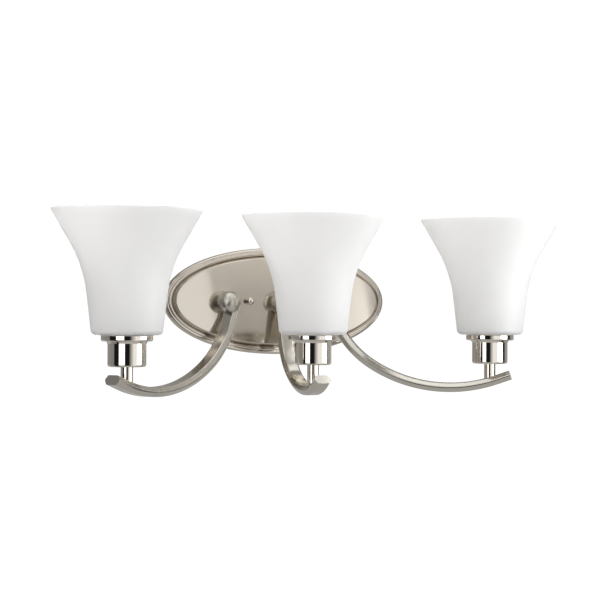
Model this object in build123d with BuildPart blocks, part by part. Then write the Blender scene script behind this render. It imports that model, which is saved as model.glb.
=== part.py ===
from build123d import *
import os

# Three-light vanity bar. Frame: X along the wall, Z up, the wall is the plane Y = 0 and the
# object stands out of it towards -Y. The origin is the centre of the backplate's back plane.

# ---- backplate: an oval stamped pan with a stepped and beaded rim ----
PLATE_A, PLATE_B = 139.0, 62.5        # half length and half height at the wall
SHEET = 1.2                           # steel thickness
SHELF_DEPTH, SHELF_ROUND = 7.6, 3.2   # the outer step above the wall, and its rounded edge
BEAD_INSET, BEAD_DEPTH = 4.6, 9.8     # the bead's outer side, in from the edge, and its height
BEAD_WIDTH, BEAD_ROUND = 3.4, 1.2
FACE_FOOT = 8.6                       # inset where the raised face begins to rise
FACE_INSET, FACE_DEPTH = 12.0, 13.8   # the flat face
FACE_ROUND = 1.0
CORNER_METAL, CORNER_DEPTH = 0.6, 1.4 # extra metal left behind the slanted and rounded steps

# ---- mounting hardware ----
STUD_X = 38.1                         # studs 3 in apart
STUD_R = 2.0
BAR_HALF, BAR_WIDTH, BAR_T = 60.0, 20.0, 1.6
BAR_EDGE_R, BAR_HOLE_R = 0.5, 6.0
SLOT_X, SLOT_LENGTH, SLOT_R = 49.5, 12.0, 2.5
STUD_BEYOND, STUD_CHAMFER = 1.0, 0.5  # how far a stud runs past the cap nut's centre
LOCK_NUT_FLAT, LOCK_NUT_T = 4.3, 3.0  # half the width across the flats, and thickness
GROUND_X = 18.0                       # earthing screw: place, washer, hexagon head, driver slot
GROUND_WASHER_R, GROUND_WASHER_T = 4.6, 0.9
GROUND_FLAT, GROUND_HEAD_T = 3.2, 2.2
DRIVER_LENGTH, DRIVER_WIDTH = 6.0, 0.9
CAP_BALL_R, CAP_CENTRE = 4.65, 5.3    # ball nut: radius, and centre above the face
CAP_FOOT_R, CAP_NECK_R = 4.2, 3.0     # its foot flange and the neck between flange and ball
CAP_FOOT_T, CAP_NECK_T = 1.0, 0.4
CAP_LIFT, CAP_BORE_BEYOND = 0.2, 0.6  # gap under the foot, and bore past the stud's end

# ---- light positions: hub on the plate, and the vertical axis of each shade ----
HUB_X, HUB_Y, HUB_Z = 67.8, -27.8, -2.0
SIDE_X, SIDE_Y, MIDDLE_Y = 219.0, -127.0, -116.0
HUB_BALL_R = 13.6

# ---- arms: flattened six-sided tube ----
ARM_W, ARM_FLAT, ARM_T, ARM_EDGE_R = 20.5, 13.5, 10.8, 2.2
TUBE_WALL = 1.4
SIDE_BACK, MIDDLE_BACK = 7.0, 5.0      # how far the tube passes behind the hub ball's centre
ROOT_LOW = 2.0                        # the rounded upper end's centre, below the ball's centre
END_CLOSE = 1.5                       # solid metal left at the cut end of the tube
BORE_W, BORE_FLAT, BORE_T = ARM_W - 3 * TUBE_WALL, ARM_FLAT - 2 * TUBE_WALL, ARM_T - 2 * TUBE_WALL
BORE_EDGE_R = 0.6
SIDE_SLOPE, SIDE_BENDS, SIDE_TAIL = 76.7, ((112.5, 44.0), (168.5, 52.0)), 16.8
MIDDLE_SLOPE, MIDDLE_BENDS, MIDDLE_TAIL = 73.2, ((74.0, 77.1), (50.0, 33.6)), 5.6
SIDE_DROP, MIDDLE_DROP = 0.6, 46.2   # straight run below the root
NIPPLE_R, NIPPLE_BORE = 5.0, 3.4      # threaded tube from the pan into each hub
NIPPLE_BACK, NIPPLE_FRONT = 2.6, -HUB_Y - 4.0
HUB_WASHER_R, HUB_WASHER_T = 8.5, 0.8
NIPPLE_NUT_FLAT, HUB_NUT_T, LAMP_NUT_T = 7.0, 3.2, 3.0

# ---- lamp stack, heights from the origin ----
CUP_BOTTOM, CUP_TOP, CUP_R, CUP_WALL = -71.8, -45.0, 20.5, 1.0
STEM_R, STEM_BORE, STEM_BLANK = 6.6, 4.0, 26.0
WIRE_HOLE_TOP, WIRE_HOLE_DEPTH = CUP_BOTTOM - 22.0, 20.0
LAMP_NIPPLE_R, LAMP_NIPPLE_BORE = 4.9, 3.3
CUP_EDGE_R = 2.4
SEAT_TOP, SEAT_R = -38.4, 27.6
GLASS_BOTTOM = -38.2
SEAT_T, SEAT_LOW_ROUND, SEAT_HIGH_ROUND = 6.5, 2.0, 0.8
COLLAR_T, COLLAR_R, COLLAR_TAPER = 2.2, 22.2, 30.0
HOLDER_R, HOLDER_BOTTOM, HOLDER_TOP = 18.6, -66.0, -14.0
HOLDER_FLOOR, HOLDER_BORE, HOLDER_EDGE_R = -54.0, 14.0, 1.0
HOLDER_WEB = 2.5                      # porcelain left between the wire hole and the floor
SHELL_R, SHELL_WALL, SHELL_BOTTOM, SHELL_TOP = 13.3, 0.5, -44.0, -16.0
SHELL_FLOOR = 3.5                     # width of the flange round the shell's floor hole
CONTACT_FOOT_R, CONTACT_FOOT_T = 3.0, 1.6
CONTACT_LENGTH, CONTACT_WIDTH, CONTACT_T = 16.0, 6.0, 0.6
CONTACT_TIP_R, CONTACT_TIP_T, CONTACT_TIP_TAPER = 2.4, 1.2, 25.0
RING_R, RING_BOTTOM, RING_TOP = 24.0, -33.9, -27.5
RING_FLANGE, RING_FLANGE_T = 2.4, 1.8
RING_GRIPS, GRIP_R, GRIP_OUT = 12, 1.6, 0.6
NIPPLE_GRIP = 4.0                     # thread engaged at each end of a lamp nipple

# ---- glass shade: outline of the outside, radius and height ----
GLASS_T = 4.0
GLASS_HOLE = 20.8
FOOT_R, FOOT_FILLET = 37.8, 6.0
WAIST_R, WAIST_Z, FLARE_FILLET = 46.0, 34.6, 145.0
LIP_R, LIP_Z, LIP_ROUND = 81.0, 95.2, 1.9

# ---- clearances on the radius ----
STUD_GAP, HUB_NIPPLE_GAP = 0.4, 0.2   # the plate's holes round the studs and the hub nipples
NIPPLE_GAP = 0.15                     # a washer or a cup round its nipple
SEAT_GAP, SLIP_GAP = 0.1, 0.05        # the seat round the lampholder, and round the cup's mouth
RUN_GAP = 0.25                        # ring to holder, a loose thread

HUB_SPOTS = [(-HUB_X, HUB_Z), (0, HUB_Z), (HUB_X, HUB_Z)]
STUD_SPOTS = [(-STUD_X, 0), (STUD_X, 0)]

os.makedirs("parts", exist_ok=True)

LIGHTS = (
    ("left", -HUB_X, (-SIDE_X, SIDE_Y), SIDE_SLOPE, SIDE_BENDS, SIDE_DROP, SIDE_TAIL, SIDE_BACK),
    ("middle", 0.0, (0.0, MIDDLE_Y), MIDDLE_SLOPE, MIDDLE_BENDS, MIDDLE_DROP, MIDDLE_TAIL, MIDDLE_BACK),
    ("right", HUB_X, (SIDE_X, SIDE_Y), SIDE_SLOPE, SIDE_BENDS, SIDE_DROP, SIDE_TAIL, SIDE_BACK),
)


def wall_plane(depth):
    """A plane parallel to the wall, this far in front of it, facing the room."""
    return Plane(origin=(0, -depth, 0), x_dir=(1, 0, 0), z_dir=(0, -1, 0))


def level(spot, height):
    """A level plane whose origin is on a lamp's axis, at this height."""
    return Plane(origin=(*spot, height))


def upright_plane(spot):
    """The vertical plane through a lamp's axis: local x is radius, local y is height."""
    return Plane(origin=(*spot, 0), x_dir=(1, 0, 0), z_dir=(0, -1, 0))


def arm_plane(hub_x, spot):
    """The vertical plane of one arm: local x runs from the hub to the lamp, local y is up."""
    run = Vector(spot[0] - hub_x, spot[1] - HUB_Y, 0).normalized()
    return Plane(origin=(hub_x, HUB_Y, HUB_Z), x_dir=run, z_dir=run.cross(Vector(0, 0, 1)))


# ---------------------------------------------------------------- backplate
def oval(inset):
    """The plate's oval, made smaller all round by this much."""
    with BuildSketch() as outline:
        Ellipse(PLATE_A - inset, PLATE_B - inset)
    return outline.sketch


with BuildPart() as backplate:
    with BuildSketch(wall_plane(0)):
        add(oval(0))
    extrude(amount=SHELF_DEPTH)
    fillet(backplate.faces().sort_by(Axis.Y)[0].edges(), radius=SHELF_ROUND)
    with BuildSketch(wall_plane(SHELF_DEPTH)):
        add(oval(BEAD_INSET))
    extrude(amount=BEAD_DEPTH - SHELF_DEPTH)
    with BuildSketch(wall_plane(SHELF_DEPTH)):
        add(oval(BEAD_INSET + BEAD_WIDTH))
    extrude(amount=BEAD_DEPTH - SHELF_DEPTH, mode=Mode.SUBTRACT)
    fillet(backplate.faces().sort_by(Axis.Y)[0].edges(), radius=BEAD_ROUND)
    with BuildSketch(wall_plane(SHELF_DEPTH)):
        add(oval(FACE_FOOT))
    with BuildSketch(wall_plane(FACE_DEPTH)):
        add(oval(FACE_INSET))
    loft()
    fillet(backplate.faces().sort_by(Axis.Y)[0].edges(), radius=FACE_ROUND)
    # the hollow back follows the steps of the front
    hollow_steps = (
        (SHEET + CORNER_METAL, SHELF_DEPTH - SHEET - CORNER_DEPTH),
        (BEAD_INSET + SHEET, SHELF_DEPTH - SHEET),
        (FACE_FOOT + SHEET + CORNER_METAL, BEAD_DEPTH - SHEET),
        (FACE_INSET + SHEET, FACE_DEPTH - SHEET),
    )
    for inset, depth in hollow_steps:
        with BuildSketch(wall_plane(0)):
            add(oval(inset))
        extrude(amount=depth, mode=Mode.SUBTRACT)
    with BuildSketch(wall_plane(0)):
        with Locations(*HUB_SPOTS):
            Circle(NIPPLE_R + HUB_NIPPLE_GAP)
        with Locations(*STUD_SPOTS):
            Circle(STUD_R + STUD_GAP)
    extrude(amount=FACE_DEPTH, mode=Mode.SUBTRACT)
backplate.part.label = "backplate"
export_step(backplate.part, "parts/backplate.step")

# ---------------------------------------------------------------- crossbar and its hardware
with BuildPart() as crossbar:
    with BuildSketch(wall_plane(0)):
        SlotOverall(2 * BAR_HALF, BAR_WIDTH)
        with Locations((-SLOT_X, 0), (SLOT_X, 0)):
            SlotOverall(SLOT_LENGTH, 2 * SLOT_R, mode=Mode.SUBTRACT)
        with Locations(*STUD_SPOTS):
            Circle(STUD_R, mode=Mode.SUBTRACT)
        Circle(BAR_HOLE_R, mode=Mode.SUBTRACT)
        with Locations((GROUND_X, 0)):
            Circle(STUD_R, mode=Mode.SUBTRACT)
    extrude(amount=BAR_T)
    fillet(crossbar.faces().sort_by(Axis.Y)[0].outer_wire().edges(), radius=BAR_EDGE_R)
crossbar.part.label = "crossbar"
export_step(crossbar.part, "parts/crossbar.step")

STUD_END = FACE_DEPTH + CAP_CENTRE + STUD_BEYOND
with BuildPart() as mounting_studs:
    with BuildSketch(wall_plane(0)):
        with Locations(*STUD_SPOTS):
            Circle(STUD_R)
    extrude(amount=STUD_END)
    chamfer(mounting_studs.faces().sort_by(Axis.Y)[:2].edges(), length=STUD_CHAMFER)
mounting_studs.part.label = "mounting_studs"
export_step(mounting_studs.part, "parts/mounting_studs.step")

with BuildPart() as stud_lock_nuts:
    with BuildSketch(wall_plane(BAR_T)):
        with Locations(*STUD_SPOTS):
            RegularPolygon(LOCK_NUT_FLAT, 6, major_radius=False)
            Circle(STUD_R, mode=Mode.SUBTRACT)
    extrude(amount=LOCK_NUT_T)
stud_lock_nuts.part.label = "stud_lock_nuts"
export_step(stud_lock_nuts.part, "parts/stud_lock_nuts.step")

with BuildPart() as ground_screw:
    with BuildSketch(wall_plane(0)):
        with Locations((GROUND_X, 0)):
            Circle(STUD_R)
    extrude(amount=BAR_T)
    with BuildSketch(wall_plane(BAR_T)):
        with Locations((GROUND_X, 0)):
            Circle(GROUND_WASHER_R)
    extrude(amount=GROUND_WASHER_T)
    with BuildSketch(wall_plane(BAR_T + GROUND_WASHER_T)):
        with Locations((GROUND_X, 0)):
            RegularPolygon(GROUND_FLAT, 6, major_radius=False)
    extrude(amount=GROUND_HEAD_T)
    with BuildSketch(wall_plane(BAR_T + GROUND_WASHER_T + GROUND_HEAD_T)):
        with Locations((GROUND_X, 0)):
            Rectangle(DRIVER_LENGTH, DRIVER_WIDTH)
    extrude(amount=-DRIVER_WIDTH, mode=Mode.SUBTRACT)
ground_screw.part.label = "ground_screw"
export_step(ground_screw.part, "parts/ground_screw.step")

# ---------------------------------------------------------------- ball nuts that clamp the plate
for side, nut_x in (("left", -STUD_X), ("right", STUD_X)):
    nut_plane = Plane(origin=(nut_x, 0, 0), x_dir=(1, 0, 0), z_dir=(0, 0, 1))
    foot_y = -FACE_DEPTH - CAP_LIFT
    flange_y = foot_y - CAP_FOOT_T
    neck_y = flange_y - CAP_NECK_T
    with BuildPart() as cap_nut:
        with BuildSketch(nut_plane):
            with BuildLine():
                Polyline((0, foot_y), (CAP_FOOT_R, foot_y), (CAP_FOOT_R, flange_y), (CAP_NECK_R, neck_y),
                         (0, neck_y), close=True)
            make_face()
        revolve(axis=Axis((nut_x, 0, 0), (0, 1, 0)))
        with Locations((nut_x, -FACE_DEPTH - CAP_CENTRE, 0)):
            Sphere(CAP_BALL_R)
        with BuildSketch(wall_plane(0)):
            with Locations((nut_x, 0)):
                Circle(STUD_R + SLIP_GAP)
        extrude(amount=STUD_END + CAP_BORE_BEYOND, mode=Mode.SUBTRACT)
    cap_nut.part.label = f"cap_nut_{side}"
    export_step(cap_nut.part, f"parts/cap_nut_{side}.step")

# ---------------------------------------------------------------- nipples, washers and nuts of the hubs
PAN_INSIDE = FACE_DEPTH - SHEET
with BuildPart() as hub_nipples:
    with BuildSketch(wall_plane(NIPPLE_BACK)):
        with Locations(*HUB_SPOTS):
            Circle(NIPPLE_R)
            Circle(NIPPLE_BORE, mode=Mode.SUBTRACT)
    extrude(amount=NIPPLE_FRONT - NIPPLE_BACK)
hub_nipples.part.label = "hub_nipples"
export_step(hub_nipples.part, "parts/hub_nipples.step")

with BuildPart() as hub_washers:
    with BuildSketch(wall_plane(PAN_INSIDE)):
        with Locations(*HUB_SPOTS):
            Circle(HUB_WASHER_R)
            Circle(NIPPLE_R + NIPPLE_GAP, mode=Mode.SUBTRACT)
    extrude(amount=-HUB_WASHER_T)
hub_washers.part.label = "hub_washers"
export_step(hub_washers.part, "parts/hub_washers.step")

with BuildPart() as hub_hex_nuts:
    with BuildSketch(wall_plane(PAN_INSIDE - HUB_WASHER_T)):
        with Locations(*HUB_SPOTS):
            RegularPolygon(NIPPLE_NUT_FLAT, 6, major_radius=False)
            Circle(NIPPLE_R, mode=Mode.SUBTRACT)
    extrude(amount=-HUB_NUT_T)
hub_hex_nuts.part.label = "hub_hex_nuts"
export_step(hub_hex_nuts.part, "parts/hub_hex_nuts.step")


def six_sided(width, flat, height, edge_r):
    """The arm's section: flats above and below, and a rounded ridge at each side."""
    with BuildSketch() as section:
        Polygon((-width / 2, 0), (-flat / 2, -height / 2), (flat / 2, -height / 2),
                (width / 2, 0), (flat / 2, height / 2), (-flat / 2, height / 2))
        fillet(section.vertices(), radius=edge_r)
    return section.sketch


def arm_line(start, knee, bends, tail):
    """An arm's centre line in its own plane: a straight drop, the bends, then a straight tail."""
    with BuildLine() as centre_line:
        reach = Line(start, knee)
        for radius, sweep_angle in bends:
            reach = JernArc(start=reach @ 1, tangent=reach % 1, radius=radius, arc_size=sweep_angle)
        Line(reach @ 1, reach @ 1 + (reach % 1) * tail)
    return centre_line.line


# ---------------------------------------------------------------- one light, from the arm to the shade
for side, hub_x, spot, slope, bends, drop, tail, back in LIGHTS:
    plane = arm_plane(hub_x, spot)
    lamp_axis = Axis((*spot, 0), (0, 0, 1))
    down = Vector(1, 0).rotate(Axis.Z, -slope)
    root = Vector(-back, -ROOT_LOW)
    crown = root - down * (ARM_W / 2)

    knee = root + down * drop
    path = (plane * arm_line(crown, knee, bends, tail)).wires()[0]
    bore_path = (plane * arm_line(root, knee, bends, tail - END_CLOSE)).wires()[0]

    with BuildPart() as arm_outside:
        with BuildSketch(Plane(origin=path @ 0, x_dir=plane.z_dir, z_dir=path % 0)):
            add(six_sided(ARM_W, ARM_FLAT, ARM_T, ARM_EDGE_R))
        sweep(path=path)
        # the closed upper end is rounded across the tube's width
        root_point = plane.from_local_coords(root)
        thick_way = plane.from_local_coords(root + Vector(down.Y, -down.X)) - root_point
        cross_plane = Plane(origin=root_point, x_dir=plane.z_dir, z_dir=thick_way)
        below = -ARM_W if cross_plane.y_dir.Z > 0 else ARM_W
        with BuildSketch(cross_plane.offset(-ARM_T)):
            Rectangle(3 * ARM_W, 3 * ARM_W)
            Circle(ARM_W / 2, mode=Mode.SUBTRACT)
            with Locations((0, below)):
                Rectangle(3 * ARM_W, 2 * ARM_W, mode=Mode.SUBTRACT)
        extrude(amount=2 * ARM_T, mode=Mode.SUBTRACT)

    with BuildPart() as arm:
        add(arm_outside.part)
        with BuildSketch(Plane(origin=bore_path @ 0, x_dir=plane.z_dir, z_dir=bore_path % 0)):
            add(six_sided(BORE_W, BORE_FLAT, BORE_T, BORE_EDGE_R))
        sweep(path=bore_path, mode=Mode.SUBTRACT)
        with BuildSketch(wall_plane(0)):
            with Locations((hub_x, HUB_Z)):
                Circle(NIPPLE_R)
        extrude(amount=NIPPLE_FRONT, mode=Mode.SUBTRACT)
        with BuildSketch(level(spot, WIRE_HOLE_TOP)):
            Circle(STEM_BORE)
        extrude(amount=WIRE_HOLE_DEPTH, mode=Mode.SUBTRACT)
    arm.part.label = f"arm_{side}"
    export_step(arm.part, f"parts/arm_{side}.step")

    # the hub ball is seated over the root of the tube and tapped for the nipple
    with BuildPart() as ball_blank:
        with Locations((hub_x, HUB_Y, HUB_Z)):
            Sphere(HUB_BALL_R)
        add(arm_outside.part, mode=Mode.SUBTRACT)
        with BuildSketch(wall_plane(0)):
            with Locations((hub_x, HUB_Z)):
                Circle(NIPPLE_R)
        extrude(amount=NIPPLE_FRONT, mode=Mode.SUBTRACT)
    with BuildPart() as hub_ball:
        add(ball_blank.solids().sort_by(SortBy.VOLUME)[-1])
    hub_ball.part.label = f"hub_ball_{side}"
    export_step(hub_ball.part, f"parts/hub_ball_{side}.step")

    # the stem stands on the arm's upper flat, coped to its curve
    with BuildPart() as stem_blank:
        with BuildSketch(level(spot, CUP_BOTTOM)):
            Circle(STEM_R)
        extrude(amount=-STEM_BLANK)
        add(arm_outside.part, mode=Mode.SUBTRACT)
        with BuildSketch(level(spot, CUP_BOTTOM)):
            Circle(STEM_BORE)
        extrude(amount=-STEM_BLANK, mode=Mode.SUBTRACT)
        with BuildSketch(level(spot, CUP_BOTTOM)):
            Circle(LAMP_NIPPLE_R)
        extrude(amount=-NIPPLE_GRIP, mode=Mode.SUBTRACT)
    with BuildPart() as stem:
        add(stem_blank.solids().sort_by(Axis.Z)[-1])
    stem.part.label = f"stem_{side}"
    export_step(stem.part, f"parts/stem_{side}.step")

    # spun cup with a hole for the lamp nipple
    with BuildPart() as socket_cup:
        with BuildSketch(level(spot, CUP_BOTTOM)):
            Circle(CUP_R)
        extrude(amount=CUP_TOP - CUP_BOTTOM)
        fillet(socket_cup.faces().sort_by(Axis.Z)[0].edges(), radius=CUP_EDGE_R)
        with BuildSketch(level(spot, CUP_BOTTOM + CUP_WALL)):
            Circle(CUP_R - CUP_WALL)
        extrude(amount=CUP_TOP - CUP_BOTTOM, mode=Mode.SUBTRACT)
        with BuildSketch(level(spot, CUP_BOTTOM)):
            Circle(LAMP_NIPPLE_R + NIPPLE_GAP)
        extrude(amount=CUP_WALL, mode=Mode.SUBTRACT)
    socket_cup.part.label = f"socket_cup_{side}"
    export_step(socket_cup.part, f"parts/socket_cup_{side}.step")

    # round-edged seat that carries the glass, with a tapered collar over the cup's mouth
    with BuildPart() as glass_seat:
        with BuildSketch(level(spot, SEAT_TOP)):
            Circle(SEAT_R)
        extrude(amount=-SEAT_T)
        fillet(glass_seat.faces().sort_by(Axis.Z)[0].edges(), radius=SEAT_LOW_ROUND)
        fillet(glass_seat.faces().sort_by(Axis.Z)[-1].edges(), radius=SEAT_HIGH_ROUND)
        with BuildSketch(level(spot, SEAT_TOP - SEAT_T)):
            Circle(COLLAR_R)
        extrude(amount=-COLLAR_T, taper=COLLAR_TAPER)
        with BuildSketch(level(spot, CUP_TOP + SLIP_GAP)):
            Circle(CUP_R + SLIP_GAP)
        extrude(amount=-2 * COLLAR_T, mode=Mode.SUBTRACT)
        with BuildSketch(level(spot, SEAT_TOP)):
            Circle(HOLDER_R + SEAT_GAP)
        extrude(amount=-2 * SEAT_T, mode=Mode.SUBTRACT)
    glass_seat.part.label = f"glass_seat_{side}"
    export_step(glass_seat.part, f"parts/glass_seat_{side}.step")

    # ceramic lampholder, threaded outside for the ring, with a brass screw shell and contact
    with BuildPart() as lampholder:
        with BuildSketch(level(spot, HOLDER_BOTTOM)):
            Circle(HOLDER_R)
        extrude(amount=HOLDER_TOP - HOLDER_BOTTOM)
        fillet(lampholder.faces().sort_by(Axis.Z)[-1].edges(), radius=HOLDER_EDGE_R)
        with BuildSketch(level(spot, HOLDER_FLOOR)):
            Circle(HOLDER_BORE)
        extrude(amount=HOLDER_TOP - HOLDER_FLOOR, mode=Mode.SUBTRACT)
        with BuildSketch(level(spot, HOLDER_BOTTOM)):
            Circle(LAMP_NIPPLE_R)
        extrude(amount=NIPPLE_GRIP, mode=Mode.SUBTRACT)
        with BuildSketch(level(spot, HOLDER_BOTTOM)):
            Circle(LAMP_NIPPLE_BORE)
        extrude(amount=HOLDER_FLOOR - HOLDER_BOTTOM - HOLDER_WEB, mode=Mode.SUBTRACT)
    lampholder.part.label = f"lampholder_{side}"
    export_step(lampholder.part, f"parts/lampholder_{side}.step")

    with BuildPart() as screw_shell:
        with BuildSketch(level(spot, SHELL_BOTTOM)):
            Circle(SHELL_R + SHELL_WALL)
            Circle(SHELL_R, mode=Mode.SUBTRACT)
        extrude(amount=SHELL_TOP - SHELL_BOTTOM)
        with BuildSketch(level(spot, SHELL_BOTTOM - SHELL_WALL)):
            Circle(SHELL_R + SHELL_WALL)
            Circle(SHELL_R - SHELL_FLOOR, mode=Mode.SUBTRACT)
        extrude(amount=SHELL_WALL)
    screw_shell.part.label = f"screw_shell_{side}"
    export_step(screw_shell.part, f"parts/screw_shell_{side}.step")

    with BuildPart() as centre_contact:
        with BuildSketch(level(spot, HOLDER_FLOOR)):
            Circle(CONTACT_FOOT_R)
        extrude(amount=CONTACT_FOOT_T)
        with BuildSketch(level(spot, HOLDER_FLOOR + CONTACT_FOOT_T)):
            SlotOverall(CONTACT_LENGTH, CONTACT_WIDTH)
        extrude(amount=CONTACT_T)
        with BuildSketch(level(spot, HOLDER_FLOOR + CONTACT_FOOT_T + CONTACT_T)):
            Circle(CONTACT_TIP_R)
        extrude(amount=CONTACT_TIP_T, taper=CONTACT_TIP_TAPER)
    centre_contact.part.label = f"centre_contact_{side}"
    export_step(centre_contact.part, f"parts/centre_contact_{side}.step")

    # the ring screws down on the lampholder and holds the glass on its seat
    with BuildPart() as retaining_ring:
        with BuildSketch(level(spot, RING_BOTTOM)):
            Circle(RING_R + RING_FLANGE)
        extrude(amount=RING_FLANGE_T)
        with BuildSketch(level(spot, RING_BOTTOM + RING_FLANGE_T)):
            Circle(RING_R)
            with PolarLocations(RING_R + GRIP_OUT, RING_GRIPS):
                Circle(GRIP_R, mode=Mode.SUBTRACT)
        extrude(amount=RING_TOP - RING_BOTTOM - RING_FLANGE_T)
        with BuildSketch(level(spot, RING_BOTTOM)):
            Circle(HOLDER_R + RUN_GAP)
        extrude(amount=RING_TOP - RING_BOTTOM, mode=Mode.SUBTRACT)
    retaining_ring.part.label = f"retaining_ring_{side}"
    export_step(retaining_ring.part, f"parts/retaining_ring_{side}.step")

    # opal glass: flat foot, small-radius corner, gently tapered barrel, wide flare, rounded lip
    with BuildPart() as shade:
        with BuildSketch(upright_plane(spot)) as glass_wall:
            with BuildLine():
                outside = Polyline((GLASS_HOLE, GLASS_BOTTOM), (FOOT_R, GLASS_BOTTOM), (WAIST_R, WAIST_Z),
                                   (LIP_R, LIP_Z))
                fillet(outside.vertices()[1], radius=FOOT_FILLET)
                fillet(outside.vertices()[2], radius=FLARE_FILLET)
                offset(amount=GLASS_T, side=Side.LEFT)
            make_face()
            fillet(glass_wall.vertices().sort_by(Axis.Y)[-2:], radius=LIP_ROUND)
        revolve(axis=lamp_axis)
    shade.part.label = f"shade_{side}"
    export_step(shade.part, f"parts/shade_{side}.step")

# ---------------------------------------------------------------- lamp nipples and nuts
LAMP_SPOTS = [light[2] for light in LIGHTS]
with BuildPart() as lamp_nipples:
    with BuildSketch(Plane.XY.offset(CUP_BOTTOM - NIPPLE_GRIP)):
        with Locations(*LAMP_SPOTS):
            Circle(LAMP_NIPPLE_R)
            Circle(LAMP_NIPPLE_BORE, mode=Mode.SUBTRACT)
    extrude(amount=HOLDER_BOTTOM - CUP_BOTTOM + 2 * NIPPLE_GRIP)
lamp_nipples.part.label = "lamp_nipples"
export_step(lamp_nipples.part, "parts/lamp_nipples.step")

with BuildPart() as lamp_nipple_nuts:
    with BuildSketch(Plane.XY.offset(CUP_BOTTOM + CUP_WALL)):
        with Locations(*LAMP_SPOTS):
            RegularPolygon(NIPPLE_NUT_FLAT, 6, major_radius=False)
            Circle(LAMP_NIPPLE_R, mode=Mode.SUBTRACT)
    extrude(amount=LAMP_NUT_T)
lamp_nipple_nuts.part.label = "lamp_nipple_nuts"
export_step(lamp_nipple_nuts.part, "parts/lamp_nipple_nuts.step")
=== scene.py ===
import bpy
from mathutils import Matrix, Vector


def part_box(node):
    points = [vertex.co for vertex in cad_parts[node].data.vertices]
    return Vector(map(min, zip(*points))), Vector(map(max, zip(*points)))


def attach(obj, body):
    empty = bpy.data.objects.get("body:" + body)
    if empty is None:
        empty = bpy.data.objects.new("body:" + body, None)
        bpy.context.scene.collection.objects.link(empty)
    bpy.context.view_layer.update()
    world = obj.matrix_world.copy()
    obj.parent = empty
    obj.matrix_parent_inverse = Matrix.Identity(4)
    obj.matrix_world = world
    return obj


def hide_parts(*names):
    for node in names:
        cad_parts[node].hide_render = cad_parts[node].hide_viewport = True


bl_info = {
    "name": "Vanity light bar",
    "version": (1, 0, 0),
    "blender": (4, 5, 0),
    "location": "View3D > Sidebar > Light Bar",
    "description": "Finishes and dresses a three-light vanity bar around its packed CAD model",
    "category": "Object",
}

import bpy
import numpy as np
from bpy.props import FloatProperty, FloatVectorProperty, IntProperty, PointerProperty
from mathutils import Matrix, Vector

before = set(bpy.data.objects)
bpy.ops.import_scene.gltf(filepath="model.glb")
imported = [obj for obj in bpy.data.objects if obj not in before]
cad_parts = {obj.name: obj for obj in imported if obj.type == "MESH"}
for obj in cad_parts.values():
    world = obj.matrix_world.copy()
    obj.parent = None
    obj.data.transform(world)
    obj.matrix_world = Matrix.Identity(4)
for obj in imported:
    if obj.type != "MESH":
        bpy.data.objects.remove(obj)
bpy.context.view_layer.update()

SIDES = ("left", "middle", "right")
MM = 0.001


# ------------------------------------------------------------------ places read from the CAD nodes
def middle_of(name):
    """Centre of a CAD node's box."""
    low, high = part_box(name)
    return (low + high) / 2


LAMP_AXIS = {side: middle_of("screw_shell_" + side) for side in SIDES}
HUB_CENTRE = {side: middle_of("hub_ball_" + side) for side in SIDES}


def arm_across(side):
    """Level direction square to an arm's upright plane, which its brushing lines run square to."""
    run = LAMP_AXIS[side] - HUB_CENTRE[side]
    run.z = 0
    return run.normalized().cross(Vector((0, 0, 1)))


# ------------------------------------------------------------------ settings a user may change
class FinishSettings(bpy.types.PropertyGroup):
    """Colours and surface qualities of the finishes."""
    plate_tint: FloatVectorProperty(
        name="Plate nickel", description="Reflected colour of the brushed backplate",
        default=(0.62, 0.57, 0.50), subtype="COLOR", min=0, max=1)
    arm_tint: FloatVectorProperty(
        name="Arm nickel", description="Reflected colour of the brushed arms and hub balls",
        default=(0.62, 0.59, 0.53), subtype="COLOR", min=0, max=1)
    polished_tint: FloatVectorProperty(
        name="Polished nickel", description="Reflected colour of the polished nickel",
        default=(0.74, 0.695, 0.63), subtype="COLOR", min=0, max=1)
    brushed_roughness: FloatProperty(
        name="Brushed roughness", description="Roughness of the plate and arms. The balls are rougher",
        default=0.13, min=0.02, max=1, subtype="FACTOR")
    glass_tint: FloatVectorProperty(
        name="Etched glass", description="Body colour of the etched opal glass",
        default=(0.845, 0.845, 0.845), subtype="COLOR", min=0, max=1)
    glass_roughness: FloatProperty(
        name="Glass roughness", description="Roughness of the etched glass surface",
        default=0.42, min=0.02, max=1, subtype="FACTOR")


class ShellSettings(bpy.types.PropertyGroup):
    """Sizes of the rolled screw shells."""
    pitch: FloatProperty(
        name="Thread pitch", description="Rise of the rolled thread in one turn",
        default=3.63 * MM, unit="LENGTH", min=0.001, max=0.01, precision=5)
    depth: FloatProperty(
        name="Thread depth", description="Crest to root of the rolled thread",
        default=0.75 * MM, unit="LENGTH", min=0.0001, max=0.002, precision=5)
    wall: FloatProperty(
        name="Sheet", description="Thickness of the brass sheet",
        default=0.35 * MM, unit="LENGTH", min=0.0001, max=0.001, precision=5)
    around: IntProperty(
        name="Steps around", description="Grid steps round the shell", default=120, min=24, max=400)


class StudioSettings(bpy.types.PropertyGroup):
    """The floor, the light and the viewpoint."""
    floor_depth: FloatProperty(
        name="Floor below", description="Height of the floor under the origin",
        default=0.75, unit="LENGTH", min=0.2, max=3)
    softbox: FloatProperty(
        name="Softboxes", description="Brightness of the white softboxes",
        default=2.6, min=0, max=20)
    surround: FloatProperty(
        name="Surround", description="Brightness of the room around the object",
        default=0.32, min=0, max=5)
    lens: FloatProperty(
        name="Lens", description="Focal length of the camera", default=96.0, min=20, max=300,
        subtype="DISTANCE_CAMERA")


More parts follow.
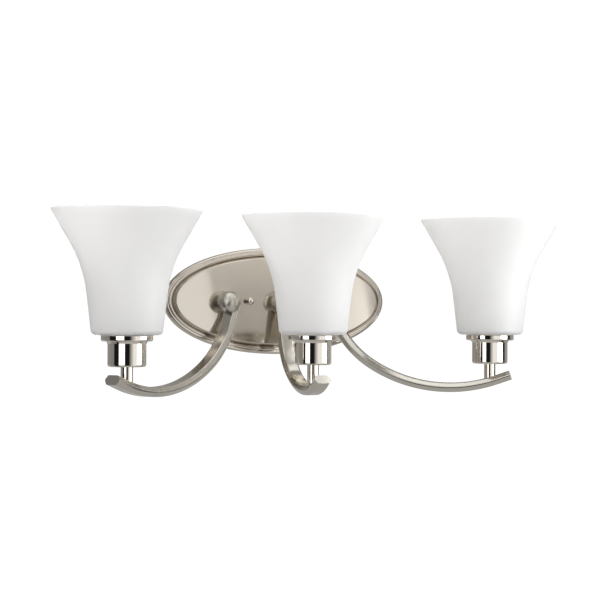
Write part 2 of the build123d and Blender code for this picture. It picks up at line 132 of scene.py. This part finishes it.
# ------------------------------------------------------------------ shader building
def node(tree, kind, inputs=None, **settings):
    """Adds a shader node. A value in inputs that is a socket is linked, any other is set."""
    made = tree.nodes.new(kind)
    for name, value in settings.items():
        setattr(made, name, value)
    for name, value in (inputs or {}).items():
        if isinstance(value, bpy.types.NodeSocket):
            tree.links.new(value, made.inputs[name])
        else:
            made.inputs[name].default_value = value
    return made


def maths(tree, operation, a, b):
    """The result socket of a Math node."""
    return node(tree, "ShaderNodeMath", {0: a, 1: b}, operation=operation).outputs[0]


def vector_maths(tree, operation, a, b):
    """The Vector result of a Vector Math node."""
    return node(tree, "ShaderNodeVectorMath", {0: a, 1: b}, operation=operation).outputs["Vector"]


def scaled(tree, vector, factor):
    """A vector times a number."""
    made = node(tree, "ShaderNodeVectorMath", {0: vector, "Scale": factor}, operation="SCALE")
    return made.outputs["Vector"]


def dot(tree, a, b):
    """The dot product of two vectors."""
    return node(tree, "ShaderNodeVectorMath", {0: a, 1: b}, operation="DOT_PRODUCT").outputs["Value"]


def spread(tree, value, low, high):
    """Maps 0..1 to low..high, held inside those ends."""
    return node(tree, "ShaderNodeMapRange", {"Value": value, "To Min": low, "To Max": high}).outputs[0]


def noise(tree, vector, scale, detail=2.0, rough=0.5):
    """The grey value of a Noise texture."""
    made = node(tree, "ShaderNodeTexNoise",
                {"Vector": vector, "Scale": scale, "Detail": detail, "Roughness": rough})
    return made.outputs["Fac"]


def new_group(name, inputs, outputs):
    """A node group with sockets of the given kinds. Returns its tree, and its input and output nodes."""
    tree = bpy.data.node_groups.new(name, "ShaderNodeTree")
    for socket, kind, value in inputs:
        made = tree.interface.new_socket(socket, in_out="INPUT", socket_type=kind)
        if value is not None:
            made.default_value = value
    for socket, kind in outputs:
        tree.interface.new_socket(socket, in_out="OUTPUT", socket_type=kind)
    return tree, tree.nodes.new("NodeGroupInput").outputs, tree.nodes.new("NodeGroupOutput").inputs


GRAIN_OUTPUTS = [("Grain", "NodeSocketFloat"), ("Bands", "NodeSocketFloat"), ("Smudge", "NodeSocketFloat")]


def brushed_grain_group():
    """Long fine lines that run square to Across: the part of the place along Across is kept whole,
    the rest is divided by Stretch, and noise is read there at three sizes."""
    tree, given, out = new_group(
        "Brushed grain",
        [("Vector", "NodeSocketVector", None), ("Across", "NodeSocketVector", (0, 0, 1)),
         ("Scale", "NodeSocketFloat", 2500.0), ("Stretch", "NodeSocketFloat", 60.0)],
        GRAIN_OUTPUTS)
    fine_share, coarse_share = 0.65, 0.35
    coarse_scale, band_scale, smudge_scale = 0.22, 0.05, 26.0
    place, across = given["Vector"], given["Across"]
    kept = scaled(tree, across, dot(tree, place, across))
    rest = vector_maths(tree, "SUBTRACT", place, kept)
    squeeze = maths(tree, "DIVIDE", 1.0, given["Stretch"])
    drawn = vector_maths(tree, "ADD", kept, scaled(tree, rest, squeeze))
    fine = noise(tree, drawn, given["Scale"], 3.0, 0.6)
    coarse = noise(tree, drawn, maths(tree, "MULTIPLY", given["Scale"], coarse_scale), 2.0, 0.5)
    mixed = maths(tree, "ADD", maths(tree, "MULTIPLY", fine, fine_share),
                  maths(tree, "MULTIPLY", coarse, coarse_share))
    tree.links.new(mixed, out["Grain"])
    tree.links.new(noise(tree, drawn, maths(tree, "MULTIPLY", given["Scale"], band_scale)), out["Bands"])
    tree.links.new(noise(tree, place, smudge_scale, 4.0, 0.55), out["Smudge"])
    return tree


def turned_grain_group():
    """Fine lines round an axis: noise is read at the distance from the axis and the distance along it,
    with a trace of the raw place so that no line closes perfectly."""
    tree, given, out = new_group(
        "Turned grain",
        [("Vector", "NodeSocketVector", None), ("Centre", "NodeSocketVector", (0, 0, 0)),
         ("Axis", "NodeSocketVector", (0, 0, 1)), ("Scale", "NodeSocketFloat", 2500.0)],
        GRAIN_OUTPUTS)
    stray_scale, stray_size = 60.0, 1.2 * MM
    band_scale, smudge_scale = 0.12, 32.0
    place = vector_maths(tree, "SUBTRACT", given["Vector"], given["Centre"])
    along = dot(tree, place, given["Axis"])
    on_axis = scaled(tree, given["Axis"], along)
    off_axis = vector_maths(tree, "SUBTRACT", place, on_axis)
    out_from = node(tree, "ShaderNodeVectorMath", {0: off_axis}, operation="LENGTH").outputs["Value"]
    stray = maths(tree, "MULTIPLY", noise(tree, place, stray_scale), stray_size)
    ringed = node(tree, "ShaderNodeCombineXYZ", {"X": out_from, "Y": along, "Z": stray}).outputs["Vector"]
    tree.links.new(noise(tree, ringed, given["Scale"], 3.0, 0.6), out["Grain"])
    tree.links.new(noise(tree, ringed, maths(tree, "MULTIPLY", given["Scale"], band_scale)), out["Bands"])
    tree.links.new(noise(tree, given["Vector"], smudge_scale, 4.0, 0.55), out["Smudge"])
    return tree


def speckle_group():
    """Fine mottling for surfaces without worked lines: small grains and large soft clouds."""
    tree, given, out = new_group(
        "Speckle",
        [("Vector", "NodeSocketVector", None), ("Scale", "NodeSocketFloat", 900.0)],
        [("Grains", "NodeSocketFloat"), ("Clouds", "NodeSocketFloat")])
    cloud_scale = maths(tree, "MULTIPLY", given["Scale"], 0.04)
    tree.links.new(noise(tree, given["Vector"], given["Scale"], 4.0, 0.6), out["Grains"])
    tree.links.new(noise(tree, given["Vector"], cloud_scale, 3.0), out["Clouds"])
    return tree


GROUP_MAKERS = {"Brushed grain": brushed_grain_group, "Turned grain": turned_grain_group,
                "Speckle": speckle_group}
GROUPS = {}


def group(name):
    """The named shader group, built once."""
    if name not in GROUPS:
        GROUPS[name] = GROUP_MAKERS[name]()
    return GROUPS[name]


def place_group(tree, name, inputs):
    """Adds a shader group that reads Object coordinates. Returns its outputs."""
    made = tree.nodes.new("ShaderNodeGroup")
    made.node_tree = group(name)
    tree.links.new(tree.nodes.new("ShaderNodeTexCoord").outputs["Object"], made.inputs["Vector"])
    for socket, value in inputs.items():
        made.inputs[socket].default_value = value
    return made.outputs


def new_material(name):
    """An empty material with a Principled shader. Returns the material, its tree and the shader."""
    material = bpy.data.materials.new(name)
    material.use_nodes = True
    tree = material.node_tree
    tree.nodes.clear()
    shader = node(tree, "ShaderNodeBsdfPrincipled")
    tree.links.new(shader.outputs["BSDF"], tree.nodes.new("ShaderNodeOutputMaterial").inputs["Surface"])
    return material, tree, shader


def tinted(tree, value, colour, darker, lighter):
    """A colour that goes from darker times to lighter times itself as value goes from 0 to 1."""
    made = node(tree, "ShaderNodeMix", {"Factor": value}, data_type="RGBA")
    made.inputs["A"].default_value = (*[c * darker for c in colour], 1)
    made.inputs["B"].default_value = (*[min(1, c * lighter) for c in colour], 1)
    return made.outputs["Result"]


def bump(tree, shader, height, distance):
    """Feeds a height in 0..1 through a Bump node, whose full height is distance in metres."""
    made = node(tree, "ShaderNodeBump", {"Height": height, "Distance": distance, "Strength": 1.0})
    tree.links.new(made.outputs["Normal"], shader.inputs["Normal"])


LEAST_ROUGHNESS = 0.01


def worked_metal(name, colour, roughness, grain, grain_inputs, line_height, vary=0.06, rough_vary=0.06):
    """Metal with worked lines: they move colour and roughness a little, and stand up as bump."""
    material, tree, shader = new_material(name)
    lines = place_group(tree, grain, grain_inputs)
    grain_share, band_share, half = 0.6, 0.4, 0.5
    both = maths(tree, "ADD", maths(tree, "MULTIPLY", lines["Grain"], grain_share),
                 maths(tree, "MULTIPLY", lines["Bands"], band_share))
    tree.links.new(tinted(tree, both, colour, 1 - vary, 1 + vary), shader.inputs["Base Color"])
    smudged = maths(tree, "ADD", maths(tree, "MULTIPLY", lines["Smudge"], half),
                    maths(tree, "MULTIPLY", lines["Grain"], half))
    least = max(LEAST_ROUGHNESS, roughness - rough_vary)
    tree.links.new(spread(tree, smudged, least, roughness + rough_vary), shader.inputs["Roughness"])
    shader.inputs["Metallic"].default_value = 1.0
    bump(tree, shader, lines["Grain"], line_height)
    return material


def put_on(material, *names):
    """Puts a material on every slot of the named CAD nodes."""
    for name in names:
        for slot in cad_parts[name].material_slots:
            slot.link = "OBJECT"
            slot.material = material


# ------------------------------------------------------------------ finishes
UP, ALONG_X, ALONG_Y = (0, 0, 1), (1, 0, 0), (0, 1, 0)
BALL_ROUGHER = 0.17         # added to the brushed roughness
POLISHED_ROUGHNESS = 0.055
NUT_ROUGHNESS = 0.09
GLASS_ROUGH_VARY = 0.05
CONTACT_BRASS, CONTACT_ROUGHNESS = (0.78, 0.60, 0.30), 0.3
SHELL_BRASS, SHELL_ROUGHNESS = (0.80, 0.62, 0.31), 0.24
PORCELAIN_WHITE = (0.88, 0.86, 0.81)
RING_WHITE = (0.86, 0.85, 0.82)
ZINC_COOL, ZINC_WARM = (0.60, 0.62, 0.66), (0.66, 0.62, 0.52)
SCREW_GREEN = (0.05, 0.28, 0.12)


class LIGHTBAR_OT_finish_plate(bpy.types.Operator):
    """Gives the backplate its brushed nickel, with the lines level"""
    bl_idname = "lightbar.finish_plate"
    bl_label = "Finish the backplate"

    def execute(self, context):
        look = context.scene.lightbar_finish
        metal = worked_metal("brushed_nickel_plate", look.plate_tint, look.brushed_roughness,
                             "Brushed grain", {"Across": UP, "Scale": 2600.0, "Stretch": 70.0},
                             line_height=0.003 * MM, vary=0.03, rough_vary=0.03)
        put_on(metal, "backplate")
        return {"FINISHED"}


class LIGHTBAR_OT_finish_arms(bpy.types.Operator):
    """Gives the arms brushed nickel with the lines running along each arm"""
    bl_idname = "lightbar.finish_arms"
    bl_label = "Finish the arms"

    def execute(self, context):
        look = context.scene.lightbar_finish
        for side in SIDES:
            lines = {"Across": arm_across(side), "Scale": 2400.0, "Stretch": 50.0}
            metal = worked_metal("brushed_nickel_arm_" + side, look.arm_tint, look.brushed_roughness,
                                 "Brushed grain", lines, line_height=0.0005 * MM, vary=0.02,
                                 rough_vary=0.015)
            put_on(metal, "arm_" + side)
        return {"FINISHED"}


class LIGHTBAR_OT_finish_hubs(bpy.types.Operator):
    """Gives the hub balls brushed nickel with the lines turned round each ball"""
    bl_idname = "lightbar.finish_hubs"
    bl_label = "Finish the hub balls"

    def execute(self, context):
        look = context.scene.lightbar_finish
        for side in SIDES:
            lines = {"Centre": HUB_CENTRE[side], "Axis": ALONG_Y, "Scale": 2200.0}
            metal = worked_metal("brushed_nickel_ball_" + side, look.arm_tint,
                                 look.brushed_roughness + BALL_ROUGHER, "Turned grain", lines,
                                 line_height=0.003 * MM, vary=0.03, rough_vary=0.04)
            put_on(metal, "hub_ball_" + side)
        return {"FINISHED"}


class LIGHTBAR_OT_finish_lamp_metal(bpy.types.Operator):
    """Gives stems, socket cups, glass seats and cap nuts their polished nickel"""
    bl_idname = "lightbar.finish_lamp_metal"
    bl_label = "Finish the polished parts"

    def execute(self, context):
        look = context.scene.lightbar_finish
        for side in SIDES:
            lines = {"Centre": LAMP_AXIS[side], "Axis": UP, "Scale": 1800.0}
            metal = worked_metal("polished_nickel_" + side, look.polished_tint, POLISHED_ROUGHNESS,
                                 "Turned grain", lines, line_height=0.0006 * MM, vary=0.02,
                                 rough_vary=0.02)
            put_on(metal, "stem_" + side, "socket_cup_" + side, "glass_seat_" + side)
        for side in ("left", "right"):
            name = "cap_nut_" + side
            lines = {"Centre": middle_of(name), "Axis": ALONG_Y, "Scale": 2000.0}
            metal = worked_metal("polished_nickel_nut_" + side, look.polished_tint, NUT_ROUGHNESS,
                                 "Turned grain", lines, line_height=0.001 * MM, vary=0.03,
                                 rough_vary=0.03)
            put_on(metal, name)
        return {"FINISHED"}


class LIGHTBAR_OT_finish_shades(bpy.types.Operator):
    """Gives the shades their white etched glass"""
    bl_idname = "lightbar.finish_shades"
    bl_label = "Finish the glass shades"

    def execute(self, context):
        look = context.scene.lightbar_finish
        material, tree, shader = new_material("opal_glass")
        grains = place_group(tree, "Speckle", {"Scale": 1500.0})
        body = tinted(tree, grains["Clouds"], look.glass_tint, 0.985, 1.01)
        tree.links.new(body, shader.inputs["Base Color"])
        etched = spread(tree, grains["Grains"], look.glass_roughness - GLASS_ROUGH_VARY,
                        look.glass_roughness + GLASS_ROUGH_VARY)
        tree.links.new(etched, shader.inputs["Roughness"])
        shader.inputs["Subsurface Weight"].default_value = 1.0
        shader.inputs["Subsurface Radius"].default_value = (0.030, 0.029, 0.028)
        shader.inputs["Subsurface Scale"].default_value = 1.0
        shader.inputs["Specular IOR Level"].default_value = 0.4
        bump(tree, shader, grains["Grains"], 0.006 * MM)
        put_on(material, *["shade_" + side for side in SIDES])
        return {"FINISHED"}


class LIGHTBAR_OT_finish_fittings(bpy.types.Operator):
    """Finishes the lampholders, rings, contacts and the hardware behind the plate"""
    bl_idname = "lightbar.finish_fittings"
    bl_label = "Finish the fittings"

    def execute(self, context):
        porcelain, tree, shader = new_material("white_porcelain")
        fired = place_group(tree, "Speckle", {"Scale": 700.0})
        white = tinted(tree, fired["Clouds"], PORCELAIN_WHITE, 0.95, 1.03)
        tree.links.new(white, shader.inputs["Base Color"])
        tree.links.new(spread(tree, fired["Clouds"], 0.10, 0.22), shader.inputs["Roughness"])
        shader.inputs["Coat Weight"].default_value = 0.6
        shader.inputs["Coat Roughness"].default_value = 0.05
        bump(tree, shader, fired["Clouds"], 0.05 * MM)
        put_on(porcelain, *["lampholder_" + side for side in SIDES])

        moulded, tree, shader = new_material("white_ring")
        skin = place_group(tree, "Speckle", {"Scale": 1800.0})
        white = tinted(tree, skin["Clouds"], RING_WHITE, 0.96, 1.02)
        tree.links.new(white, shader.inputs["Base Color"])
        tree.links.new(spread(tree, skin["Grains"], 0.34, 0.5), shader.inputs["Roughness"])
        bump(tree, shader, skin["Grains"], 0.02 * MM)
        put_on(moulded, *["retaining_ring_" + side for side in SIDES])

        lines = {"Across": ALONG_X, "Scale": 3000.0, "Stretch": 20.0}
        brass = worked_metal("brass_contact", CONTACT_BRASS, CONTACT_ROUGHNESS, "Brushed grain", lines,
                             line_height=0.004 * MM)
        put_on(brass, *["centre_contact_" + side for side in SIDES])

        plated, tree, shader = new_material("zinc_steel")
        film = place_group(tree, "Speckle", {"Scale": 900.0})
        cool = tinted(tree, film["Grains"], ZINC_COOL, 0.92, 1.06)
        warm = tinted(tree, film["Grains"], ZINC_WARM, 0.92, 1.06)
        both = node(tree, "ShaderNodeMix", {"Factor": film["Clouds"], "A": cool, "B": warm},
                    data_type="RGBA")
        tree.links.new(both.outputs["Result"], shader.inputs["Base Color"])
        tree.links.new(spread(tree, film["Grains"], 0.28, 0.46), shader.inputs["Roughness"])
        shader.inputs["Metallic"].default_value = 1.0
        bump(tree, shader, film["Grains"], 0.015 * MM)
        put_on(plated, "crossbar", "mounting_studs", "stud_lock_nuts", "hub_nipples", "hub_washers",
               "hub_hex_nuts", "lamp_nipples", "lamp_nipple_nuts")

        green, tree, shader = new_material("green_screw")
        dye = place_group(tree, "Speckle", {"Scale": 1200.0})
        tree.links.new(tinted(tree, dye["Clouds"], SCREW_GREEN, 0.8, 1.3), shader.inputs["Base Color"])
        tree.links.new(spread(tree, dye["Grains"], 0.25, 0.42), shader.inputs["Roughness"])
        shader.inputs["Metallic"].default_value = 0.7
        bump(tree, shader, dye["Grains"], 0.01 * MM)
        put_on(green, "ground_screw")
        return {"FINISHED"}


# ------------------------------------------------------------------ new pieces
def wrapped_grid(name, points):
    """A mesh from an array of points (rows, columns, 3) whose rows and columns both close on themselves."""
    rows, columns = points.shape[:2]
    here = np.arange(rows * columns).reshape(rows, columns)
    right = np.roll(here, -1, axis=1)
    faces = np.stack([here, right, np.roll(right, -1, axis=0), np.roll(here, -1, axis=0)], axis=-1)
    mesh = bpy.data.meshes.new(name)
    mesh.from_pydata(points.reshape(-1, 3), [], faces.reshape(-1, 4))
    mesh.validate()
    mesh.shade_smooth()
    made = bpy.data.objects.new(name, mesh)
    bpy.context.scene.collection.objects.link(made)
    return made


SHELL_ROWS = 110            # points up the wall, on each face
SHELL_FLANGE = 4.0 * MM     # width of the floor round the hole
SHELL_RUN_OUT = 0.4         # part of a turn over which the thread fades at each end


def shell_points(low, high, axis, pitch, depth, wall, around):
    """A rolled screw shell. At each angle its wall is one closed loop in the upright plane: up the
    inside, over the lip, down the outside, and in along the floor round the hole. The wall's radius is
    its mean plus half the depth times the cosine of (height over pitch less the turn), eased to
    nothing at both ends."""
    outer = (high.x - low.x) / 2
    mean = outer - depth / 2 - wall / 2
    bottom, top = low.z + wall, high.z
    height = np.linspace(bottom + wall, top - wall, SHELL_ROWS)
    hole = outer - SHELL_FLANGE
    turn = np.linspace(0, 2 * np.pi, around, endpoint=False)[:, None]
    ease = np.clip(np.minimum(height - height[0], height[-1] - height) / (SHELL_RUN_OUT * pitch), 0, 1)
    ease = ease * ease * (3 - 2 * ease)
    wave = 0.5 * depth * np.cos(2 * np.pi * (height[None, :] - bottom) / pitch - turn) * ease
    sheet = mean + wave
    level = np.broadcast_to(height, sheet.shape)
    # the same at every angle: three points over the lip, and five along the floor and round the hole
    shoulder = top - 0.3 * wall
    lip_r = np.ones_like(turn) * [mean - wall / 2, mean, mean + wall / 2]
    lip_z = np.ones_like(turn) * [shoulder, top, shoulder]
    rim = hole + wall / 2
    floor_r = np.ones_like(turn) * [outer - wall, rim, hole, rim, outer - 2 * wall]
    floor_z = np.ones_like(turn) * [low.z, low.z, low.z + wall / 2, low.z + wall, low.z + wall]
    radius = np.hstack([sheet - wall / 2, lip_r, (sheet + wall / 2)[:, ::-1], floor_r])
    lift = np.hstack([level, lip_z, level[:, ::-1], floor_z])
    angle = np.broadcast_to(turn, radius.shape)
    return np.stack([axis.x + radius * np.cos(angle), axis.y + radius * np.sin(angle), lift], axis=-1)


class LIGHTBAR_OT_add_screw_shells(bpy.types.Operator):
    """Adds the rolled brass screw shells that stand for the plain CAD sleeves"""
    bl_idname = "lightbar.add_screw_shells"
    bl_label = "Add the screw shells"

    def execute(self, context):
        sizes = context.scene.lightbar_shell
        lines = {"Centre": LAMP_AXIS["middle"], "Axis": UP, "Scale": 1600.0}
        brass = worked_metal("brass_shell", SHELL_BRASS, SHELL_ROUGHNESS, "Turned grain", lines,
                             line_height=0.002 * MM, vary=0.08, rough_vary=0.08)
        for side in SIDES:
            node_name = "screw_shell_" + side
            low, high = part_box(node_name)
            points = shell_points(low, high, LAMP_AXIS[side], sizes.pitch, sizes.depth, sizes.wall,
                                  sizes.around)
            shell = wrapped_grid("rolled_shell_" + side, points)
            shell.data.materials.append(brass)
            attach(shell, "fixture")
            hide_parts(node_name)
        return {"FINISHED"}


# ------------------------------------------------------------------ stage
# Heights between which the upright cards stand
CARD_SPAN, SOFTBOX_SPAN = (-0.62, 0.85), (-0.16, 0.85)
LOW_SPAN, HIGH_SPAN = (-0.62, 0.10), (0.10, 0.85)
# Each card stands upright between two plan points and the heights of its span, and its brightness
# goes evenly from the first point to the last.
CARDS = (
    ("side_left", (-0.66, 0.30), (-0.66, -0.08), 0.30, 0.27, CARD_SPAN),
    ("flag_left", (-0.66, -0.08), (-0.657, -0.345), 0.012, 0.012, CARD_SPAN),
    ("flag_front", (-0.514, -0.66), (-0.25, -1.008), 0.012, 0.012, LOW_SPAN),
    ("fill_edge", (-0.25, -1.008), (0.09, -0.917), 0.08, 0.90, CARD_SPAN),
    ("fill_front", (0.09, -0.917), (0.53, -0.85), 1.10, 1.10, CARD_SPAN),
    ("flag_right", (0.417, -0.251), (0.417, -0.165), 0.05, 0.05, CARD_SPAN),
    ("side_right", (0.417, -0.165), (0.45, 0.30), 0.35, 0.60, CARD_SPAN),
)
# The softboxes stand in the same way. Their brightness, like that of the sheets overhead, is a share
# of the softbox setting.
SOFTBOXES = (
    ("softbox_left", (-0.657, -0.345), (-0.514, -0.66), 0.9),
    ("softbox_right", (0.53, -0.85), (0.417, -0.251), 1.3),
)
TOP_CORNERS = [(-0.5, -0.75, 0.95), (0.45, -0.75, 0.95), (0.45, 0.1, 0.95), (-0.5, 0.1, 0.95)]
MIRRORED_LEFT, MIRRORED_RIGHT = 0.45, 0.60
GLOWING_LEFT, GLOWING_RIGHT = 1.25, 2.1
HIGH_START, HIGH_END, HIGH_LIGHT = (-0.514, -0.66), (-0.25, -1.008), 0.75
FLOOR_REACH = 14.0
FLOOR_TINT, FLOOR_ROUGHNESS = (0.10, 0.099, 0.096), 0.85
FLOOR_MIRRORED = 0.42       # the glow that reflections see, where the camera sees 1
ROOM_TINT, BACKGROUND_LIGHT = (1.0, 0.97, 0.93, 1), 1.05
WHITE = (1, 1, 1, 1)
# The camera looks along +Y until it is turned towards +X, tilted up and rolled, in radians
CAMERA_PLACE = (-0.7049, -1.7588, -0.0156)
CAMERA_TURN = 0.397
CAMERA_TILT = 0.009
CAMERA_ROLL = 0.004


def card(name, corners, first, last):
    """A bright or dark card given by four corners. Its light goes from first to last across it, and
    only reflections and lighting see it."""
    mesh = bpy.data.meshes.new(name)
    mesh.from_pydata(corners, [], [(0, 1, 2, 3)])
    glow = mesh.color_attributes.new("glow", "FLOAT_COLOR", "POINT")
    values = np.array([first, last, last, first])
    glow.data.foreach_set("color", np.column_stack([values, values, values, np.ones(4)]).ravel())
    material = bpy.data.materials.new(name)
    material.use_nodes = True
    tree = material.node_tree
    tree.nodes.clear()
    shade = node(tree, "ShaderNodeAttribute", attribute_name="glow")
    light = node(tree, "ShaderNodeEmission", {"Color": shade.outputs["Color"], "Strength": 1.0})
    tree.links.new(light.outputs[0], tree.nodes.new("ShaderNodeOutputMaterial").inputs["Surface"])
    mesh.materials.append(material)
    made = bpy.data.objects.new(name, mesh)
    bpy.context.scene.collection.objects.link(made)
    made.visible_camera = False
    made.visible_shadow = False
    return made


def upright(start, end, span):
    """The four corners of a card that stands on two plan points, between two heights."""
    low, high = span
    return [(*start, low), (*end, low), (*end, high), (*start, high)]


class LIGHTBAR_OT_set_stage(bpy.types.Operator):
    """Hangs the softboxes and cards, lays the floor, and sets the world and the camera"""
    bl_idname = "lightbar.set_stage"
    bl_label = "Set the stage"

    def execute(self, context):
        scene, studio = context.scene, context.scene.lightbar_studio
        self.hang_cards(studio)
        self.lay_floor(studio)
        self.set_world(scene, studio)
        self.set_camera(scene, studio)
        scene.view_settings.view_transform = "Standard"
        return {"FINISHED"}

    def hang_cards(self, studio):
        """The cards and softboxes all round, two sheets overhead (a dim one for the metal to mirror
        and a bright one that only matt surfaces see), and a fill over the front flag that only
        reflections see."""
        for name, start, end, first, last, span in CARDS:
            card(name, upright(start, end, span), first, last)
        for name, start, end, share in SOFTBOXES:
            bright = studio.softbox * share
            card(name, upright(start, end, SOFTBOX_SPAN), bright, bright)
        mirrored = card("top_mirrored", TOP_CORNERS, studio.softbox * MIRRORED_LEFT,
                        studio.softbox * MIRRORED_RIGHT)
        mirrored.visible_diffuse = False
        glowing = card("top_glowing", TOP_CORNERS, studio.softbox * GLOWING_LEFT,
                       studio.softbox * GLOWING_RIGHT)
        glowing.visible_glossy = False
        high_fill = card("high_fill", upright(HIGH_START, HIGH_END, HIGH_SPAN), HIGH_LIGHT, HIGH_LIGHT)
        high_fill.visible_diffuse = False

    def lay_floor(self, studio):
        """A wide floor. Its own colour is dark, but the camera sees it as white as the background, and
        the metal mirrors it at a middle grey."""
        reach, level = FLOOR_REACH, -studio.floor_depth
        mesh = bpy.data.meshes.new("floor")
        mesh.from_pydata([(-reach, -reach, level), (reach, -reach, level), (reach, reach, level),
                          (-reach, reach, level)], [], [(0, 1, 2, 3)])
        floor = bpy.data.objects.new("floor", mesh)
        bpy.context.scene.collection.objects.link(floor)
        material, tree, shader = new_material("floor")
        grains = place_group(tree, "Speckle", {"Scale": 60.0})
        tree.links.new(tinted(tree, grains["Clouds"], FLOOR_TINT, 0.98, 1.02),
                       shader.inputs["Base Color"])
        shader.inputs["Roughness"].default_value = FLOOR_ROUGHNESS
        shader.inputs["Emission Color"].default_value = WHITE
        path = node(tree, "ShaderNodeLightPath").outputs
        glow = maths(tree, "ADD", path["Is Camera Ray"],
                     maths(tree, "MULTIPLY", path["Is Glossy Ray"], FLOOR_MIRRORED))
        tree.links.new(glow, shader.inputs["Emission Strength"])
        mesh.materials.append(material)

    def set_world(self, scene, studio):
        """White to the camera, and a soft warm grey room to everything else."""
        world = bpy.data.worlds.new("studio")
        scene.world = world
        world.use_nodes = True
        tree = world.node_tree
        tree.nodes.clear()
        room = node(tree, "ShaderNodeBackground", {"Color": ROOM_TINT, "Strength": studio.surround})
        seen = node(tree, "ShaderNodeBackground", {"Color": WHITE, "Strength": BACKGROUND_LIGHT})
        path = node(tree, "ShaderNodeLightPath")
        both = node(tree, "ShaderNodeMixShader",
                    {0: path.outputs["Is Camera Ray"], 1: room.outputs[0], 2: seen.outputs[0]})
        tree.links.new(both.outputs[0], tree.nodes.new("ShaderNodeOutputWorld").inputs["Surface"])

    def set_camera(self, scene, studio):
        """Looks level from the left, turned from +Y towards +X."""
        data = bpy.data.cameras.new("camera")
        data.lens, data.sensor_width = studio.lens, 36.0
        data.clip_start, data.clip_end = 0.05, 60.0
        camera = bpy.data.objects.new("camera", data)
        scene.collection.objects.link(camera)
        turn = Matrix.Rotation(-CAMERA_TURN, 4, "Z")
        tilt = Matrix.Rotation(np.pi / 2 + CAMERA_TILT, 4, "X")
        roll = Matrix.Rotation(CAMERA_ROLL, 4, "Z")
        camera.matrix_world = Matrix.Translation(CAMERA_PLACE) @ turn @ tilt @ roll
        scene.camera = camera


# ------------------------------------------------------------------ add-on
STEPS = (
    LIGHTBAR_OT_finish_plate,
    LIGHTBAR_OT_finish_arms,
    LIGHTBAR_OT_finish_hubs,
    LIGHTBAR_OT_finish_lamp_metal,
    LIGHTBAR_OT_finish_shades,
    LIGHTBAR_OT_finish_fittings,
    LIGHTBAR_OT_add_screw_shells,
    LIGHTBAR_OT_set_stage,
)


class LIGHTBAR_PT_panel(bpy.types.Panel):
    """Lists the settings and the steps in order"""
    bl_idname = "LIGHTBAR_PT_panel"
    bl_label = "Light Bar"
    bl_space_type = "VIEW_3D"
    bl_region_type = "UI"
    bl_category = "Light Bar"

    def draw(self, context):
        layout = self.layout
        for group_name in ("lightbar_finish", "lightbar_shell", "lightbar_studio"):
            settings = getattr(context.scene, group_name)
            box = layout.box()
            for prop in settings.bl_rna.properties:
                if prop.identifier not in ("rna_type", "name"):
                    box.prop(settings, prop.identifier)
        for step in STEPS:
            layout.operator(step.bl_idname)


CLASSES = (FinishSettings, ShellSettings, StudioSettings, *STEPS, LIGHTBAR_PT_panel)


def register():
    """Registers every class and hangs the settings on the scene."""
    for cls in CLASSES:
        bpy.utils.register_class(cls)
    bpy.types.Scene.lightbar_finish = PointerProperty(type=FinishSettings)
    bpy.types.Scene.lightbar_shell = PointerProperty(type=ShellSettings)
    bpy.types.Scene.lightbar_studio = PointerProperty(type=StudioSettings)


def unregister():
    """Takes the settings and classes away again."""
    del bpy.types.Scene.lightbar_studio
    del bpy.types.Scene.lightbar_shell
    del bpy.types.Scene.lightbar_finish
    for cls in reversed(CLASSES):
        bpy.utils.unregister_class(cls)


def main():
    """Runs every step in order."""
    register()
    for step in STEPS:
        area, name = step.bl_idname.split(".")
        getattr(getattr(bpy.ops, area), name)()


if __name__ == "__main__":
    main()
